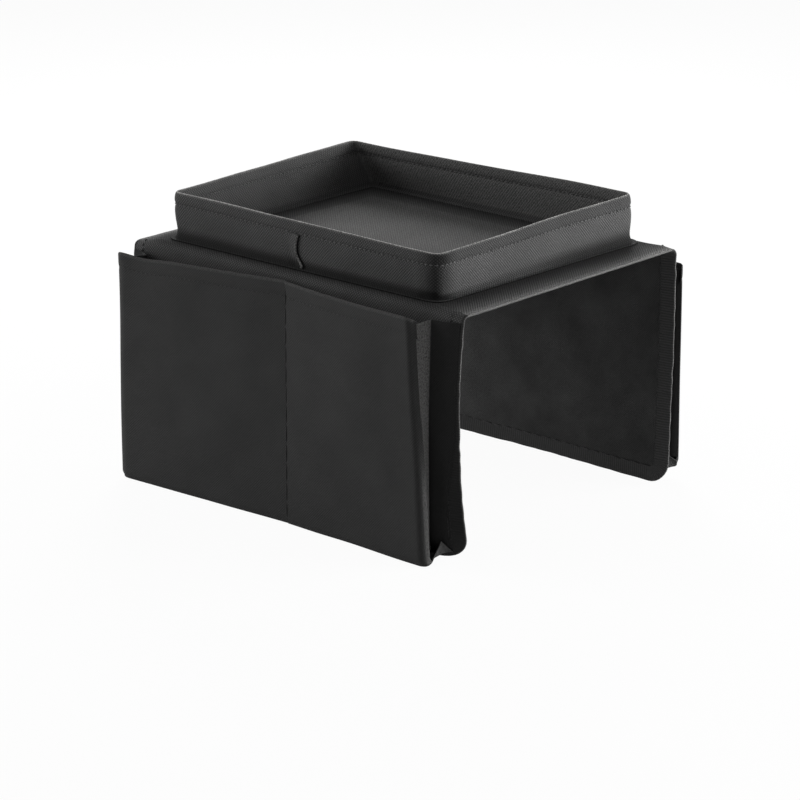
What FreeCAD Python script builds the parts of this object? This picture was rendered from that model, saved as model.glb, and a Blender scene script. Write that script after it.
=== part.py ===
import FreeCAD, Part
import os
import re
import Sketcher

# Sofa arm tray: a walled tray on a flat deck that lies across a sofa arm, with a stiffened flap hanging on
# each side and two gusseted cloth pockets on each flap.
# Frame: +Z up, X across the arm, Y along the arm, origin on the floor under the middle of the tray.
# The front end is -Y and the left flap is -X. Lengths are in millimetres, angles in degrees.

doc = FreeCAD.newDocument("sofa_arm_tray")
sheet = doc.addObject("Spreadsheet::Sheet", "Sizes")

# Driving sizes, each in a cell of its own.
SIZES = (
    ("overall_height", 200, "floor to the rim of the tray"),
    ("tray_width", 200, "across the arm, over the walls"),
    ("tray_length", 240, "along the arm, over the walls"),
    ("wall_rise", 32, "tray wall above the deck"),
    ("side_margin", 10, "deck outside the tray wall, towards a flap"),
    ("end_margin", 28, "deck outside the tray wall, at each end"),
    ("cloth_thickness", 0.8, "body cloth, and lining"),
    ("board_thickness", 2, "deck and flap boards"),
    ("bend_radius", 6, "outside of the cloth bend between deck and flap"),
    ("flap_corner", 15, "radius of the lower corners of a flap"),
    ("tape_width", 10, "edge tape, on each face"),
    ("tape_thickness", 0.5, "edge tape"),
    ("band_cloth", 0.7, "cloth folded over the tray walls"),
    ("wall_board", 1.6, "boards in the tray walls"),
    ("tray_corner", 5, "outside radius of the corners of the tray"),
    ("rim_hem", 8, "rim to the stitching below it"),
    ("lap_width", 9, "lapped ends of the tray band"),
    ("lap_place", 6, "middle of the left wall to the lap"),
    ("pocket_length", 138, "centre seam to the free end of a pocket front"),
    ("pocket_drop", 8, "deck top to the top of the pockets"),
    ("pocket_cloth", 0.7, "pocket fronts, floors and seams"),
    ("pocket_gape", 9, "degrees that a pocket front stands open"),
    ("pocket_hem", 12, "turned hem along the top of a pocket front"),
    ("hem_start", 12, "hem from the fold at the centre seam"),
    ("seam_width", 4, "sewn strip between two pockets"),
    ("gusset_cloth", 1, "gusset cloth, measured along the arm"),
    ("pleat_depth", 16, "how far the gusset folds into the pocket"),
    ("clearance", 0.3, "room beside moving cloth"),
    ("hinge_gap", 0.4, "room between a flap and its hinge strip"),
    ("overrun", 5, "cuts reach this far past what they cut"),
)

# Sizes that follow from the driving ones.
DERIVED = (
    ("deck_top", "overall_height - wall_rise"),
    ("deck_edge", "tray_width / 2 + side_margin"),
    ("deck_end", "tray_length / 2 + end_margin"),
    ("body_thickness", "2 * cloth_thickness + board_thickness"),
    ("deck_under", "deck_top - body_thickness"),
    ("flap_inside", "deck_edge - body_thickness"),
    ("pivot_x", "deck_edge - bend_radius"),
    ("pivot_z", "deck_top - bend_radius"),
    ("flap_top", "pivot_z - hinge_gap"),
    ("bend_inside", "bend_radius - body_thickness"),
    ("tray_side", "tray_width / 2"),
    ("tray_end", "tray_length / 2"),
    ("wall_thickness", "2 * band_cloth + wall_board"),
    ("board_top", "overall_height - band_cloth"),
    ("seam_side", "seam_width / 2"),
    ("pocket_top", "deck_top - pocket_drop"),
    ("pocket_foot", "pocket_cloth + clearance"),
    ("fold_x", "deck_edge + pocket_cloth + clearance"),
    ("fold_y", "seam_side + pocket_cloth + clearance"),
    ("pocket_reach", "fold_x + pocket_length * sin(pocket_gape)"),
    ("pocket_end", "fold_y + pocket_length * cos(pocket_gape)"),
    ("gusset_reach", "pocket_reach - pocket_cloth - 2 * clearance"),
    ("gusset_fold", "(deck_edge + gusset_reach) / 2"),
)

for row, (alias, value, note) in enumerate(SIZES, start=1):
    sheet.set(f"A{row}", note)
    sheet.set(f"B{row}", str(value))
    sheet.setAlias(f"B{row}", alias)
for row, (alias, formula) in enumerate(DERIVED, start=len(SIZES) + 1):
    sheet.set(f"A{row}", "follows")
    sheet.set(f"B{row}", "=" + formula)
    sheet.setAlias(f"B{row}", alias)
doc.recompute()

UP = FreeCAD.Vector(0, 0, 1)
LEFT_RIGHT = FreeCAD.Vector(1, 0, 0)
FRONT_BACK = FreeCAD.Vector(0, 1, 0)
# Turns a cylinder so that its axis lies along the arm and its first quarter faces outwards and up.
ALONG_ARM = FreeCAD.Rotation(FreeCAD.Vector(1, 0, 0), 90)


def bound(formula):
    """The formula with each name taken from the sheet."""
    return re.sub(r"[a-z_]*[a-z]", lambda found: "Sizes." + found.group(), formula)


def number(formula):
    """What a formula comes to with the sheet as it stands."""
    return float(sheet.evalExpression(bound(formula)))


def box(name, x, y, z):
    """A box from pairs of formulas, low and high, along each axis."""
    piece = doc.addObject("Part::Box", name)
    for axis, side, (low, high) in zip("xyz", ("Length", "Width", "Height"), (x, y, z)):
        piece.setExpression(side, bound(f"{high} - ({low})"))
        piece.setExpression(f"Placement.Base.{axis}", bound(low))
    return piece


def joined(kind, name, base, tool):
    """One of the two-shape booleans."""
    piece = doc.addObject(kind, name)
    piece.Base = base
    piece.Tool = tool
    return piece


def cut(name, base, *tools):
    """The base with each tool taken away."""
    for tool in tools[:-1]:
        base = joined("Part::Cut", name + "_step", base, tool)
    return joined("Part::Cut", name, base, tools[-1])


def mirrored(name, source, normal):
    """The same piece on the other side of a middle plane."""
    piece = doc.addObject("Part::Mirroring", name)
    piece.Source = source
    piece.Normal = normal
    return piece


def hold_point(sketch, geometry, point, x=None, y=None):
    """Holds a point of a sketch at formulas for its coordinates."""
    for kind, formula in (("DistanceX", x), ("DistanceY", y)):
        if formula is not None:
            limit = Sketcher.Constraint(kind, -1, 1, geometry, point, number(formula))
            sketch.setExpression(f"Constraints[{sketch.addConstraint(limit)}]", bound(formula))


def hold_radius(sketch, geometry, formula):
    limit = Sketcher.Constraint("Radius", geometry, number(formula))
    sketch.setExpression(f"Constraints[{sketch.addConstraint(limit)}]", bound(formula))


def polygon(sketch, corners):
    """A closed outline through corners given as pairs of formulas."""
    points = [FreeCAD.Vector(number(x), number(y), 0) for x, y in corners]
    for i, point in enumerate(points):
        sketch.addGeometry(Part.LineSegment(points[i - 1], point))
    for i, (x, y) in enumerate(corners):
        sketch.addConstraint(Sketcher.Constraint("Coincident", i - 1 if i else len(points) - 1, 2, i, 1))
        hold_point(sketch, i, 2, x, y)


def rectangle(sketch, x, y):
    """An upright rectangle between pairs of formulas."""
    polygon(sketch, ((x[0], y[0]), (x[1], y[0]), (x[1], y[1]), (x[0], y[1])))


def disc(sketch, radius):
    """A round outline about the origin."""
    sketch.addGeometry(Part.Circle(FreeCAD.Vector(0, 0, 0), UP, number(radius)))
    sketch.addConstraint(Sketcher.Constraint("Coincident", 0, 3, -1, 1))
    hold_radius(sketch, 0, radius)


def rounded_outline(sketch, side, low, high, corner, rounds):
    """An outline from -side to side, low to high, with its two lower or all four corners rounded."""
    half, foot, top, radius = (number(formula) for formula in (side, low, high, corner))
    head = radius if rounds == 4 else 0
    lines = (
        ((-half, top - head), (-half, foot + radius)),
        ((-half + radius, foot), (half - radius, foot)),
        ((half, foot + radius), (half, top - head)),
        ((half - head, top), (-half + head, top)),
    )
    middles = (
        (-half + radius, foot + radius),
        (half - radius, foot + radius),
        (half - radius, top - radius),
        (-half + radius, top - radius),
    )
    for start, end in lines:
        sketch.addGeometry(Part.LineSegment(FreeCAD.Vector(*start, 0), FreeCAD.Vector(*end, 0)))
    for i, middle in enumerate(middles[:rounds]):
        start, end = lines[i][1], lines[(i + 1) % 4][0]
        outward = FreeCAD.Vector(start[0] + end[0] - 2 * middle[0], start[1] + end[1] - 2 * middle[1], 0)
        crown = FreeCAD.Vector(*middle, 0) + outward.normalize() * radius
        sketch.addGeometry(Part.Arc(FreeCAD.Vector(*start, 0), crown, FreeCAD.Vector(*end, 0)))
    for i in range(rounds):
        sketch.addConstraint(Sketcher.Constraint("Tangent", i, 2, 4 + i, 1))
        sketch.addConstraint(Sketcher.Constraint("Tangent", 4 + i, 2, (i + 1) % 4, 1))
        if i:
            sketch.addConstraint(Sketcher.Constraint("Equal", 4, 4 + i))
    for i in range(rounds, 4):
        sketch.addConstraint(Sketcher.Constraint("Coincident", i, 2, (i + 1) % 4, 1))
    for i, kind in enumerate(("Vertical", "Horizontal", "Vertical", "Horizontal")):
        sketch.addConstraint(Sketcher.Constraint(kind, i))
    hold_radius(sketch, 4, corner)
    hold_point(sketch, 0, 1, x=f"-({side})")
    hold_point(sketch, 1, 1, y=low)
    hold_point(sketch, 2, 1, x=side)
    hold_point(sketch, 3, 1, y=high)


def pad(body, plane, span, draw):
    """Adds to the body an outline, drawn on one of its origin planes, padded over a span of formulas."""
    low, high = span
    sketch = body.newObject("Sketcher::SketchObject", body.Name + "_outline")
    origin_plane = next(o for o in body.Origin.OriginFeatures if o.Role == plane)
    sketch.AttachmentSupport = [(origin_plane, "")]
    sketch.MapMode = "FlatFace"
    sketch.setExpression("AttachmentOffset.Base.z", bound(low))
    draw(sketch)
    solid = body.newObject("PartDesign::Pad", body.Name + "_pad")
    solid.Profile = sketch
    solid.setExpression("Length", bound(f"{high} - ({low})"))


def flap_plate(name, x, inset, top="flap_top"):
    """A plate of the flap's outline, drawn in by inset, over a span across the arm."""
    body = doc.addObject("PartDesign::Body", name)
    pad(body, "YZ_Plane", x, lambda sketch: rounded_outline(
        sketch, f"deck_end - {inset}", inset, top, f"flap_corner - {inset}", 2))
    return body


def tray_block(name, inset, z):
    """A block of the tray's outline, drawn in by inset, over a span of heights."""
    body = doc.addObject("PartDesign::Body", name)
    side, end = f"tray_side - ({inset})", f"tray_end - ({inset})"
    pad(body, "XY_Plane", z, lambda sketch: rounded_outline(
        sketch, side, f"-({end})", end, f"tray_corner - ({inset})", 4))
    return body


def quarter_tube(name, outer, inner, y):
    """A quarter of a tube about the right hinge line, from deck to flap, over a span along the arm."""
    rods = []
    for radius in (outer, inner):
        rod = doc.addObject("Part::Cylinder", name + "_rod")
        rod.Angle = 90
        rod.Placement.Rotation = ALONG_ARM
        rod.setExpression("Radius", bound(radius))
        rod.setExpression("Height", bound(f"{y[1]} - ({y[0]})"))
        for axis, formula in zip("xyz", ("pivot_x", y[1], "pivot_z")):
            rod.setExpression(f"Placement.Base.{axis}", bound(formula))
        rods.append(rod)
    return cut(name, *rods)


parts = []


def keep(piece, label):
    """Names a finished sub-part."""
    piece.Label = label
    parts.append(piece)
    return piece


def keep_pair(piece, label):
    """Names a finished sub-part of the right side, and its twin on the left."""
    keep(piece, label.replace("SIDE", "right"))
    keep(mirrored("twin_of_" + piece.Name, piece, LEFT_RIGHT), label.replace("SIDE", "left"))


# Deck: body cloth, board and lining, with edge tape folded round both ends.
across = ("-pivot_x", "pivot_x")
inside_tape = ("-(deck_end - tape_thickness)", "deck_end - tape_thickness")
tape_place = ("-deck_end", "-deck_end + tape_width")
tape_fold = ("-deck_end + tape_thickness", "-deck_end + tape_width + overrun")
deck_tape_wrap = box("deck_tape_wrap", across, tape_place, ("deck_under", "deck_top"))
deck_tape_core = box("deck_tape_core", across, tape_fold,
                     ("deck_under + tape_thickness", "deck_top - tape_thickness"))
tape_front = keep(cut("deck_tape", deck_tape_wrap, deck_tape_core), "deck_binding_front")
tape_back = keep(mirrored("twin_of_deck_tape", tape_front, FRONT_BACK), "deck_binding_back")
deck_sheet = box("deck_sheet", across, inside_tape, ("deck_top - cloth_thickness", "deck_top"))
keep(cut("deck_cover", deck_sheet, tape_front, tape_back), "deck_cloth")
under_sheet = box("under_sheet", across, inside_tape, ("deck_under", "deck_under + cloth_thickness"))
keep(cut("deck_under_cover", under_sheet, tape_front, tape_back), "deck_lining")
between_cloths = ("deck_under + cloth_thickness", "deck_top - cloth_thickness")
keep(box("deck_stiffener", across, inside_tape, between_cloths), "deck_board")

# Tray walls: four boards inside one band of cloth, folded over the rim and lapped on the left wall.
through_tray = ("deck_top - overrun", "overall_height + overrun")
band_block = tray_block("band_block", "0", ("deck_top", "overall_height"))
tray_hollow = tray_block("tray_hollow", "wall_thickness", through_tray)
channel_block = tray_block("channel_block", "band_cloth", ("deck_top - overrun", "board_top"))
channel_middle = tray_block("channel_middle", "wall_thickness - band_cloth", through_tray)
board_channel = cut("board_channel", channel_block, channel_middle)
folded_band = cut("folded_band", band_block, tray_hollow, board_channel)
band_lap = box("band_lap", ("-tray_side - band_cloth", "-tray_side"),
               ("lap_place", "lap_place + lap_width"), ("deck_top", "overall_height - rim_hem"))
keep(joined("Part::Fuse", "lapped_band", folded_band, band_lap), "tray_band")

board_rise = ("deck_top", "board_top")
side_board = box("side_board", ("tray_side - wall_thickness + band_cloth", "tray_side - band_cloth"),
                 ("-tray_end + tray_corner", "tray_end - tray_corner"), board_rise)
keep_pair(side_board, "wall_board_SIDE")
end_board = box("end_board", ("-tray_side + tray_corner", "tray_side - tray_corner"),
                ("-tray_end + band_cloth", "-tray_end + wall_thickness - band_cloth"), board_rise)
keep(end_board, "wall_board_front")
keep(mirrored("twin_of_end_board", end_board, FRONT_BACK), "wall_board_back")

# Hinges: the cloth and the lining bend from deck to flap with no board between them.
hinge_wrap = quarter_tube("hinge_wrap", "bend_radius", "bend_inside", tape_place)
hinge_core = quarter_tube("hinge_core", "bend_radius - tape_thickness", "bend_inside + tape_thickness", tape_fold)
hinge_tape_front = cut("hinge_tape", hinge_wrap, hinge_core)
hinge_tape_back = mirrored("twin_of_hinge_tape", hinge_tape_front, FRONT_BACK)
keep_pair(hinge_tape_front, "hinge_binding_SIDE_front")
keep_pair(hinge_tape_back, "hinge_binding_SIDE_back")
bent_sheet = quarter_tube("bent_sheet", "bend_radius", "bend_radius - cloth_thickness", inside_tape)
keep_pair(cut("hinge_cover", bent_sheet, hinge_tape_front, hinge_tape_back), "hinge_cloth_SIDE")
bent_lining = quarter_tube("bent_lining", "bend_inside + cloth_thickness", "bend_inside", inside_tape)
keep_pair(cut("hinge_under_cover", bent_lining, hinge_tape_front, hinge_tape_back), "hinge_lining_SIDE")

# Flaps: body cloth, board and lining, with edge tape folded round the free edges.
above_flap = "flap_top + overrun"
flap_wrap = flap_plate("flap_wrap", ("flap_inside", "deck_edge"), "0")
flap_opening = flap_plate("flap_opening", ("flap_inside - overrun", "deck_edge + overrun"), "tape_width", above_flap)
flap_core = flap_plate("flap_core", ("flap_inside + tape_thickness", "deck_edge - tape_thickness"),
                       "tape_thickness", above_flap)
flap_tape = cut("flap_tape", flap_wrap, flap_opening, flap_core)
keep_pair(flap_tape, "flap_binding_SIDE")
flap_sheet = flap_plate("flap_sheet", ("deck_edge - cloth_thickness", "deck_edge"), "tape_thickness")
keep_pair(cut("flap_cover", flap_sheet, flap_tape), "flap_cloth_SIDE")
flap_under = flap_plate("flap_under", ("flap_inside", "flap_inside + cloth_thickness"), "tape_thickness")
keep_pair(cut("flap_under_cover", flap_under, flap_tape), "flap_lining_SIDE")
keep_pair(flap_plate("flap_stiffener", ("flap_inside + cloth_thickness", "deck_edge - cloth_thickness"),
                     "tape_thickness"), "flap_board_SIDE")

# Pockets: fronts that fold at a sewn centre strip, pleated gussets at their free ends, and floors.
pocket_rise = ("pocket_foot", "pocket_top")
keep_pair(box("seam_strip", ("deck_edge", "deck_edge + pocket_cloth"), ("-seam_side", "seam_side"), pocket_rise),
          "pocket_seam_SIDE")

pocket_front = doc.addObject("PartDesign::Body", "pocket_front")
pad(pocket_front, "XY_Plane", pocket_rise,
    lambda sketch: rectangle(sketch, ("0", "pocket_length"), ("0", "pocket_cloth")))
pad(pocket_front, "XY_Plane", ("pocket_top - pocket_hem", "pocket_top"),
    lambda sketch: rectangle(sketch, ("hem_start", "pocket_length"), ("-pocket_cloth", "0")))
pad(pocket_front, "XY_Plane", pocket_rise, lambda sketch: disc(sketch, "pocket_cloth"))
pocket_front.setExpression("Placement.Base.x", bound("fold_x"))
pocket_front.setExpression("Placement.Base.y", bound("-fold_y"))
pocket_front.setExpression("Placement.Rotation.Angle", bound("pocket_gape") + " - 90")

pleat = doc.addObject("PartDesign::Body", "pleat")
pad(pleat, "XY_Plane", pocket_rise, lambda sketch: polygon(sketch, (
    ("deck_edge", "-pocket_end"),
    ("gusset_fold", "-pocket_end + pleat_depth"),
    ("gusset_reach", "-pocket_end"),
    ("gusset_reach", "-pocket_end + gusset_cloth"),
    ("gusset_fold", "-pocket_end + pleat_depth + gusset_cloth"),
    ("deck_edge", "-pocket_end + gusset_cloth"),
)))

pocket_base = doc.addObject("PartDesign::Body", "pocket_base")
pad(pocket_base, "XY_Plane", ("0", "pocket_cloth"), lambda sketch: polygon(sketch, (
    ("deck_edge", "-seam_side"),
    ("deck_edge", "-pocket_end"),
    ("pocket_reach", "-pocket_end"),
    ("fold_x", "-seam_side"),
)))

for piece, label in ((pocket_front, "pocket_panel"), (pleat, "pocket_gusset"), (pocket_base, "pocket_floor")):
    keep_pair(piece, label + "_SIDE_front")
    keep_pair(mirrored("back_" + piece.Name, piece, FRONT_BACK), label + "_SIDE_back")

doc.recompute()
for piece in doc.Objects:
    if "Invalid" in piece.State or "Error" in piece.State:
        raise RuntimeError(f"{piece.Name} failed: {piece.State}")
for piece in parts:
    if piece.Shape.isNull() or not piece.Shape.isValid() or len(piece.Shape.Solids) != 1:
        raise RuntimeError(f"{piece.Label} isn't one sound solid")
os.makedirs("parts", exist_ok=True)
for piece in parts:
    piece.Shape.exportStep(f"parts/{piece.Label}.step")
print(len(parts), "sub-parts written")
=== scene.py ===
"""Sofa arm tray in black polyester: a walled tray on a boarded deck, a hanging flap on each side of the arm,
and two gusseted pockets on the outside of each flap.

Every cloth piece is cut flat at its real size, laid along its folded shape and given its thickness.
"""

import math

import bpy
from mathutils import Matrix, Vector, noise


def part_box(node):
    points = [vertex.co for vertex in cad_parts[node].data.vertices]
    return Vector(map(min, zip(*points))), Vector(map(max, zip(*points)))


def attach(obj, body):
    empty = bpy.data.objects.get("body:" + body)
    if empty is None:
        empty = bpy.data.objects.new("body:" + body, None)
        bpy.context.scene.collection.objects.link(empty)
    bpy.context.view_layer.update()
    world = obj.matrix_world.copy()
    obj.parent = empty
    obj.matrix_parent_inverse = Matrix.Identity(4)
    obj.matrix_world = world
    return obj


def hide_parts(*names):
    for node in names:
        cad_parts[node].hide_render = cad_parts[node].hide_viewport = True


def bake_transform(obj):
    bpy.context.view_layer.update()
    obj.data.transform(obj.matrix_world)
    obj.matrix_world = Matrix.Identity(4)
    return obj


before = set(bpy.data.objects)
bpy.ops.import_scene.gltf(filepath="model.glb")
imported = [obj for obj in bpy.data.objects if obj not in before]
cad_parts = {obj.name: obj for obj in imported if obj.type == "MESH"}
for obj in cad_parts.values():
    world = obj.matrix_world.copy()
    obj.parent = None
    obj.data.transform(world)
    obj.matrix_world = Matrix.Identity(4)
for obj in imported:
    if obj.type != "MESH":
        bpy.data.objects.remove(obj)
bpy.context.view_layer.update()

MM = 0.001

# Sizes that the frame gives, in metres. Left is -X, front is -Y.
hinge_low, hinge_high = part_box("hinge_cloth_right")
PIVOT_X = hinge_low.x
PIVOT_Z = hinge_low.z
BEND = hinge_high.x - hinge_low.x
BEND_LENGTH = BEND * math.pi / 2
DECK_TOP = hinge_high.z
FLAP_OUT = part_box("flap_cloth_right")[1].x
LAYERS = FLAP_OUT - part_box("flap_lining_right")[0].x
FLAP_DROP = PIVOT_Z
DECK_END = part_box("deck_binding_back")[1].y
TAPE_WIDTH = DECK_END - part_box("deck_binding_back")[0].y
CLOTH_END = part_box("deck_cloth")[1].y
BAND_X, BAND_Y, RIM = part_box("tray_band")[1]
POCKET_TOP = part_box("pocket_panel_right_front")[1].z

# Sizes of the sewing: the flaps' round lower corners, how far in from an edge the tape presses the layers,
# and the thicknesses of cloth and board.
FLAP_CORNER = 15 * MM
PRESS = 10 * MM
CLOTH = 0.5 * MM
BAND_CLOTH = 0.6 * MM
LAP_CLOTH = 0.8 * MM
POCKET_CLOTH = 0.6 * MM
TAPE = 0.4 * MM
BOARD = 1.8 * MM
WALL_BOARD = 1.4 * MM

# Usual spacing of the grid lines in cloth, in boards, and of the points along a seam.
STEP = 6 * MM
BOARD_STEP = 8 * MM
SEAM_STEP = 3 * MM

# The attribute value for painted shade, as dark as cloth lying in a fold.
PAINTED_SHADE = -0.8


# Small helpers

def ease(value, start, end):
    """0 before start, 1 after end, and a smooth step between them."""
    t = min(1.0, max(0.0, (value - start) / (end - start)))
    return t * t * (3 - 2 * t)


def between(a, b, t):
    """The place at a share t of the way from a to b."""
    return a + (b - a) * t


def ripple(x, y, z, size, seed):
    """A soft unevenness of about -1 to 1, with swells of this size in metres."""
    return noise.noise(Vector((x / size + 7.3 * seed, y / size - 3.1 * seed, z / size + 5.7 * seed)))


def spread(start, end, step):
    """Even places from start to end, about a step apart."""
    count = max(1, round(abs(end - start) / step))
    return [between(start, end, i / count) for i in range(count + 1)]


def stations(*marks):
    """Places through (position, step to the next) marks, ending at the last position."""
    found = []
    for (start, step), (end, _) in zip(marks, marks[1:]):
        found += spread(start, end, step)[:-1]
    return found + [marks[-1][0]]


# Materials

def linear(code):
    """An sRGB hex colour as linear RGBA."""
    parts = [int(code[i:i + 2], 16) / 255 for i in (1, 3, 5)]
    return [c / 12.92 if c <= 0.04045 else ((c + 0.055) / 1.055) ** 2.4 for c in parts] + [1.0]


def add(tree, kind, inputs=None, **settings):
    """One shader node with its settings, and with each named input set, or linked to a socket or to another
    node's factor or first output."""
    node = tree.nodes.new("ShaderNode" + kind)
    for key, value in settings.items():
        setattr(node, key, value)
    for key, value in (inputs or {}).items():
        if isinstance(value, bpy.types.Node):
            value = value.outputs.get("Fac") or next(out for out in value.outputs if out.enabled)
        if isinstance(value, bpy.types.NodeSocket):
            tree.links.new(value, node.inputs[key])
        else:
            node.inputs[key].default_value = value
    return node


def new_material(name):
    """A material whose node tree is still empty."""
    material = bpy.data.materials.new(name)
    material.use_nodes = True
    material.node_tree.nodes.clear()
    return material, material.node_tree


# A wave texture's bands repeat every 2 pi / 20 of its scaled coordinate.
BAND_PERIOD = 2 * math.pi / 20
# Pattern sizes. Ribs are about 1 mm apart on such tape, and drawn 1.8 mm apart to show.
FUZZ = 1.3 * MM
CLOUD = 35 * MM
RIB = 1.8 * MM
TAPE_FUZZ = 1.1 * MM
TWIST = 0.5 * MM
FLECK = 2.5 * MM
# How high the weave and the ribs stand where a bump is at full strength.
RELIEF = 0.5 * MM


def woven(name, thread, gap, painted_light_and_wear, pitch, relief, mottle, roughness, specular, sheen):
    """Plain-woven polyester: threads cross over and under, so that lit cloth shows a fine checkered grain.
    The wear_and_painted_shading attribute lightens thread tips where it is above 0, for scuffing and for
    painted highlights, and where it is below 0 darkens the cloth to near black as painted shade."""
    material, tree = new_material(name)
    flat = add(tree, "UVMap", uv_map="UVMap")
    threads = {"Vector": flat, "Scale": BAND_PERIOD / pitch, "Distortion": 0.6, "Detail": 1.0,
               "Detail Scale": 0.7}
    warp = add(tree, "TexWave", threads, bands_direction="X")
    weft = add(tree, "TexWave", threads, bands_direction="Y")
    over = add(tree, "Math", {0: warp, 1: weft}, operation="SUBTRACT")
    weave = add(tree, "Math", {0: over}, operation="ABSOLUTE")
    fibre = add(tree, "TexNoise", {"Vector": flat, "Scale": 1 / FUZZ, "Detail": 3.0})
    cloud = add(tree, "TexNoise", {"Vector": flat, "Scale": 1 / CLOUD, "Detail": 3.0})
    grain = add(tree, "Mix", {"Factor": 0.35, "A": weave, "B": fibre})
    dyed = add(tree, "Mix", data_type="RGBA", inputs={"Factor": grain, "A": linear(gap), "B": linear(thread)})
    faded = add(tree, "MapRange", {"Value": cloud, "From Min": 0.3, "From Max": 0.7, "To Min": 1 - mottle,
                                   "To Max": 1 + mottle})
    clouded = add(tree, "Mix", data_type="RGBA", blend_type="MULTIPLY",
                  inputs={"Factor": 1.0, "A": dyed, "B": faded})
    wear_and_painted_shading = add(tree, "Attribute", attribute_name="wear_and_painted_shading")
    # Scuffing and painted highlight: above 0 the attribute turns the thread tips towards the pale colour.
    tips = add(tree, "MapRange", {"Value": fibre, "From Min": 0.28, "From Max": 0.6})
    rub_and_painted_shading = add(tree, "Math", {0: wear_and_painted_shading, 1: tips}, operation="MULTIPLY", use_clamp=True)
    light = add(tree, "Mix", data_type="RGBA", inputs={"Factor": rub_and_painted_shading, "A": clouded, "B": linear(painted_light_and_wear)})
    # Painted shade: below 0 the attribute turns the colour towards near black.
    folded = add(tree, "MapRange", {"Value": wear_and_painted_shading, "From Min": 0.0, "From Max": -1.0})
    colour = add(tree, "Mix", data_type="RGBA", inputs={"Factor": folded, "A": light, "B": linear("#0b0b0b")})
    rough = add(tree, "MapRange", {"Value": grain, "To Min": roughness + 0.12, "To Max": roughness - 0.05})
    bump = add(tree, "Bump", {"Height": grain, "Strength": relief, "Distance": RELIEF})
    cloth = add(tree, "BsdfPrincipled", {"Base Color": colour, "Roughness": rough, "Normal": bump,
                                         "Specular IOR Level": specular, "Sheen Weight": sheen,
                                         "Sheen Roughness": 0.45})
    add(tree, "OutputMaterial", {"Surface": cloth})
    return material


# Oxford-woven polyester of the deck, walls and flaps. Real threads are about 0.5 mm apart, too fine to show,
# so the crossings are drawn 2.2 mm apart.
body_cloth = woven("oxford_polyester", thread="#606060", gap="#1f1f1f", painted_light_and_wear="#b4b3b1", pitch=2.2 * MM,
                   relief=0.9, mottle=0.10, roughness=0.80, specular=0.04, sheen=0.01)
# Thinner polyester of the pockets: the same weave, finer and flatter, so it looks smoother.
pocket_cloth = woven("pocket_polyester", thread="#424242", gap="#292929", painted_light_and_wear="#8a8988", pitch=1.8 * MM,
                     relief=0.35, mottle=0.10, roughness=0.80, specular=0.05, sheen=0.03)
# Polyester taffeta lining: close and smooth, with a faint cloudy sheen.
lining_cloth = woven("taffeta_lining", thread="#464646", gap="#2d2d2d", painted_light_and_wear="#5d5d5d", pitch=1.6 * MM,
                     relief=0.25, mottle=0.28, roughness=0.74, specular=0.05, sheen=0.03)


def grosgrain():
    """Grosgrain tape: a polyester tape with ribs across it, scuffed grey along its fold, and darkened with
    painted shade where the attribute is below 0.
    """
    material, tree = new_material("grosgrain_tape")
    flat = add(tree, "UVMap", uv_map="UVMap")
    ribs = add(tree, "TexWave", {"Vector": flat, "Scale": BAND_PERIOD / RIB, "Distortion": 1.2, "Detail": 2.0,
                                 "Detail Scale": 1.5}, bands_direction="Y")
    fibre = add(tree, "TexNoise", {"Vector": flat, "Scale": 1 / TAPE_FUZZ, "Detail": 3.0})
    grain = add(tree, "Mix", {"Factor": 0.5, "A": ribs, "B": fibre})
    dyed = add(tree, "Mix", data_type="RGBA",
               inputs={"Factor": grain, "A": linear("#2a2a2a"), "B": linear("#434343")})
    wear_and_painted_shading = add(tree, "Attribute", attribute_name="wear_and_painted_shading")
    rub_and_painted_shading = add(tree, "Math", {0: wear_and_painted_shading, 1: fibre}, operation="MULTIPLY")
    # Painted shade: below 0 the attribute darkens the tape towards near black.
    shade_share = add(tree, "Math", {0: wear_and_painted_shading, 1: -1.0}, operation="MULTIPLY", use_clamp=True)
    deep = add(tree, "Mix", data_type="RGBA", inputs={"Factor": shade_share, "A": dyed, "B": linear("#1c1c1c")})
    colour = add(tree, "Mix", data_type="RGBA", inputs={"Factor": rub_and_painted_shading, "A": deep, "B": linear("#828180")})
    rough = add(tree, "MapRange", {"Value": grain, "To Min": 0.75, "To Max": 0.6})
    bump = add(tree, "Bump", {"Height": grain, "Strength": 0.45, "Distance": RELIEF})
    ribbon = add(tree, "BsdfPrincipled", {"Base Color": colour, "Roughness": rough, "Normal": bump,
                                          "Specular IOR Level": 0.06, "Sheen Weight": 0.03})
    add(tree, "OutputMaterial", {"Surface": ribbon})
    return material


def sewing_thread(name, dark, bright, specular):
    """Spun polyester sewing thread, with a twist that glints a little."""
    material, tree = new_material(name)
    place = add(tree, "TexCoord").outputs["Object"]
    twist = add(tree, "TexWave", {"Vector": place, "Scale": BAND_PERIOD / TWIST, "Distortion": 2.0},
                bands_direction="DIAGONAL")
    colour = add(tree, "Mix", data_type="RGBA",
                 inputs={"Factor": twist, "A": linear(dark), "B": linear(bright)})
    rough = add(tree, "MapRange", {"Value": twist, "To Min": 0.6, "To Max": 0.42})
    spun = add(tree, "BsdfPrincipled", {"Base Color": colour, "Roughness": rough,
                                        "Specular IOR Level": specular})
    add(tree, "OutputMaterial", {"Surface": spun})
    return material


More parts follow.
